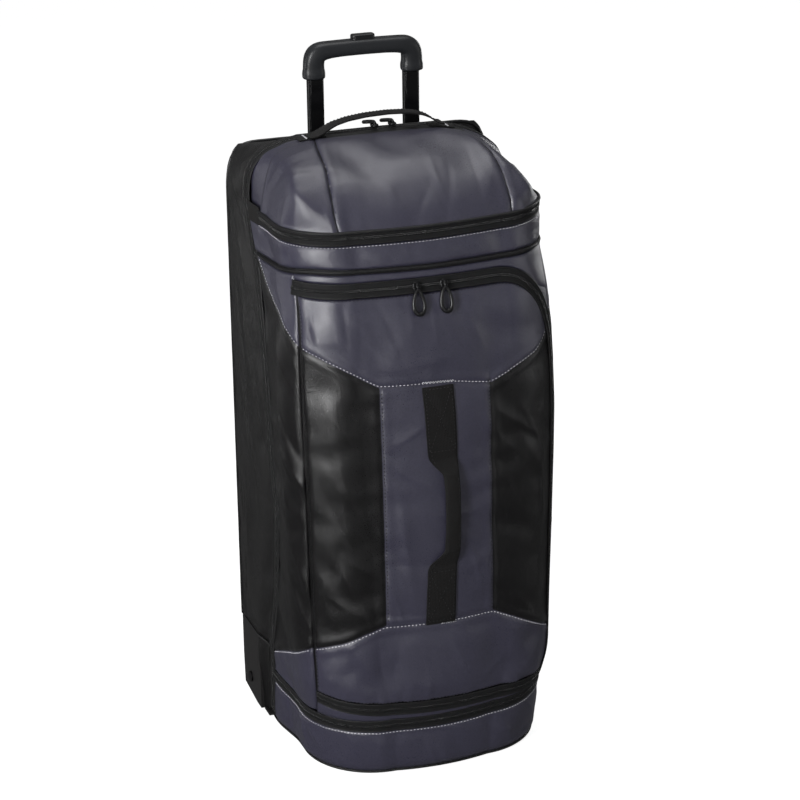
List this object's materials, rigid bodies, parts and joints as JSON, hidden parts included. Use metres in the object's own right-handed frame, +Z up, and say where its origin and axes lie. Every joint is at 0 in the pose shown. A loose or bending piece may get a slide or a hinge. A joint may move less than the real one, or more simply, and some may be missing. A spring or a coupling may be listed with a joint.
{
  "type": "rolling duffel bag",
  "caption": "Upright rolling duffel with telescoping trolley handle, split rear compartment, zipped front flap, top and bottom end pockets.",
  "frame": {"origin": "on the floor at mid-width, 60 mm in front of the seam between the two compartments' bottoms", "axes": "+Z up the standing bag, -Y out of the front flap, +X to the right when facing the front"},
  "size_m": [0.3668, 0.3299, 0.918],
  "materials": {
    "black_fabric": "satin coated polyester",
    "grey_fabric": "satin polyester",
    "webbing": "woven webbing",
    "zip_tape": "woven tape with a coil",
    "lining": "plain lining",
    "frame_plastic": "textured",
    "housing_plastic": "textured",
    "grip_plastic": "soft matte",
    "button_plastic": "satin",
    "tube_black": "gloss black",
    "fixed_tube": "satin",
    "steel": "plain",
    "zip_metal": "black enamel",
    "pull_rubber": "moulded",
    "tyre_rubber": "polyurethane",
    "hub_plastic": "moulded"
  },
  "bodies": {
    "rear_body": {"tub_shell": "black_fabric", "kick_plate": "housing_plastic", "back_plate": "frame_plastic", "tube_lining": "lining", "divider_panel": "lining", "split_tape_rear": "zip_tape", "skid_rails": "housing_plastic", "wheel_housing_left": "housing_plastic", "wheel_housing_right": "housing_plastic", "axles": "steel", "outer_tubes": "fixed_tube", "handle_bezel": "housing_plastic", "tube_brackets": "frame_plastic", "bracket_screws": "steel"},
    "front_body": {"front_shell": "black_fabric", "top_pocket_floor": "lining", "bottom_pocket_roof": "lining", "bottom_tray": "grey_fabric", "base_board": "frame_plastic", "bottom_pocket_zip": "zip_tape", "top_zip_lower_tape": "zip_tape", "top_piping": "webbing", "bottom_piping": "webbing", "split_tape_front": "zip_tape", "flap_frame_tape": "zip_tape"},
    "flap": {"flap_panel": "grey_fabric", "flap_tape": "zip_tape", "grab_handle": "webbing"},
    "lid": {"lid_shell": "grey_fabric", "top_zip_upper_tape": "zip_tape"},
    "carry_handle": {"carry_handle": "webbing"},
    "trolley": {"inner_tubes": "tube_black", "lock_housings": "frame_plastic", "grip": "grip_plastic", "button_springs": "steel"},
    "release_button": {"release_button": "button_plastic", "push_rods": "frame_plastic"},
    "lock_pin_left": {"lock_pin_left": "steel"},
    "lock_pin_right": {"lock_pin_right": "steel"},
    "wheel_left": {"wheel_hub_left": "hub_plastic", "tyre_left": "tyre_rubber", "bearings_left": "steel"},
    "wheel_right": {"wheel_hub_right": "hub_plastic", "tyre_right": "tyre_rubber", "bearings_right": "steel"},
    "flap_slider_left": {"flap_left_slider": "zip_metal"},
    "flap_pull_left": {"flap_left_pull": "pull_rubber"},
    "flap_slider_right": {"flap_right_slider": "zip_metal"},
    "flap_pull_right": {"flap_right_pull": "pull_rubber"},
    "split_slider_left": {"split_left_slider": "zip_metal"},
    "split_pull_left": {"split_left_pull": "pull_rubber"},
    "split_slider_right": {"split_right_slider": "zip_metal"},
    "split_pull_right": {"split_right_pull": "pull_rubber"},
    "top_zip_slider": {"top_zip_slider": "zip_metal"},
    "top_zip_pull": {"top_zip_pull": "pull_rubber"},
    "bottom_zip_slider": {"bottom_zip_slider": "zip_metal"},
    "bottom_zip_pull": {"bottom_zip_pull": "pull_rubber"}
  },
  "joints": [
    {"name": "trolley_slide", "type": "slide", "parent": "rear_body", "child": "trolley", "axis": [0, 0, 1], "range_m": [-0.0445, 0.2225], "stiffness_N_per_m": 2000},
    {"name": "button_press", "type": "slide", "parent": "trolley", "child": "release_button", "axis": [0, 0, -1], "range_m": [0, 0.004], "stiffness_N_per_m": 900, "deforming": ["button_springs"]},
    {"name": "lock_pin_left_slide", "type": "slide", "parent": "trolley", "child": "lock_pin_left", "axis": [-1, 0, 0], "range_m": [0, 0.003]},
    {"name": "lock_pin_right_slide", "type": "slide", "parent": "trolley", "child": "lock_pin_right", "axis": [1, 0, 0], "range_m": [0, 0.003]},
    {"name": "wheel_left_spin", "type": "hinge", "parent": "rear_body", "child": "wheel_left", "pos_m": [-0.153, 0.1295, 0.037], "axis": [1, 0, 0], "continuous": true},
    {"name": "wheel_right_spin", "type": "hinge", "parent": "rear_body", "child": "wheel_right", "pos_m": [0.153, 0.1295, 0.037], "axis": [1, 0, 0], "continuous": true},
    {"name": "split_hinge", "type": "hinge", "parent": "rear_body", "child": "front_body", "pos_m": [0, 0.06, 0.002], "axis": [1, 0, 0], "range_deg": [0, 45], "stiffness_Nm_per_rad": 60},
    {"name": "flap_hinge", "type": "hinge", "parent": "front_body", "child": "flap", "pos_m": [-0.1736, -0.102, 0.11], "axis": [0, -0.0366, -0.9993], "range_deg": [0, 110], "stiffness_Nm_per_rad": 2},
    {"name": "lid_hinge", "type": "hinge", "parent": "front_body", "child": "lid", "pos_m": [0, 0.0384, 0.806], "axis": [-1, 0, 0], "range_deg": [0, 75], "stiffness_Nm_per_rad": 1},
    {"name": "carry_handle_swing", "type": "hinge", "parent": "front_body", "child": "carry_handle", "pos_m": [0, 0.0454, 0.811], "axis": [-1, 0, 0], "range_deg": [0, 18], "stiffness_Nm_per_rad": 0.2},
    {"name": "flap_slider_left_slide", "type": "slide", "parent": "flap", "child": "flap_slider_left", "axis": [-0.9969, 0.0782, 0], "range_m": [0, 0.05]},
    {"name": "flap_pull_left_swing", "type": "hinge", "parent": "flap_slider_left", "child": "flap_pull_left", "pos_m": [-0.024, -0.12377, 0.65572], "axis": [-1, 0, 0], "range_deg": [0, 120], "stiffness_Nm_per_rad": 0.01},
    {"name": "flap_slider_right_slide", "type": "slide", "parent": "flap", "child": "flap_slider_right", "axis": [0.9983, 0.059, 0], "range_m": [0, 0.05]},
    {"name": "flap_pull_right_swing", "type": "hinge", "parent": "flap_slider_right", "child": "flap_pull_right", "pos_m": [0.012, -0.12411, 0.65572], "axis": [-1, 0, 0], "range_deg": [0, 120], "stiffness_Nm_per_rad": 0.01},
    {"name": "split_slider_left_slide", "type": "slide", "parent": "rear_body", "child": "split_slider_left", "axis": [-1, 0, 0], "range_m": [0, 0.06]},
    {"name": "split_pull_left_swing", "type": "hinge", "parent": "split_slider_left", "child": "split_pull_left", "pos_m": [-0.012, 0.0641, 0.8198], "axis": [1, 0, 0], "range_deg": [0, 60], "stiffness_Nm_per_rad": 0.01},
    {"name": "split_slider_right_slide", "type": "slide", "parent": "rear_body", "child": "split_slider_right", "axis": [1, 0, 0], "range_m": [0, 0.06]},
    {"name": "split_pull_right_swing", "type": "hinge", "parent": "split_slider_right", "child": "split_pull_right", "pos_m": [0.012, 0.0641, 0.8198], "axis": [1, 0, 0], "range_deg": [0, 60], "stiffness_Nm_per_rad": 0.01},
    {"name": "top_zip_slider_slide", "type": "slide", "parent": "front_body", "child": "top_zip_slider", "axis": [0, 1, 0], "range_m": [0, 0.03]},
    {"name": "top_zip_pull_swing", "type": "hinge", "parent": "top_zip_slider", "child": "top_zip_pull", "pos_m": [0.1806, -0.01, 0.7184], "axis": [0, -1, 0], "range_deg": [0, 120], "stiffness_Nm_per_rad": 0.01},
    {"name": "bottom_zip_slider_slide", "type": "slide", "parent": "front_body", "child": "bottom_zip_slider", "axis": [0, 1, 0], "range_m": [-0.03, 0.03]},
    {"name": "bottom_zip_pull_swing", "type": "hinge", "parent": "bottom_zip_slider", "child": "bottom_zip_pull", "pos_m": [0.1706, -0.01, 0.0734], "axis": [0, -1, 0], "range_deg": [0, 90], "stiffness_Nm_per_rad": 0.01}
  ],
  "couplings": [
    {"joint": "lock_pin_left_slide", "follows": "button_press", "ratio": 0.75},
    {"joint": "lock_pin_right_slide", "follows": "button_press", "ratio": 0.75}
  ]
}
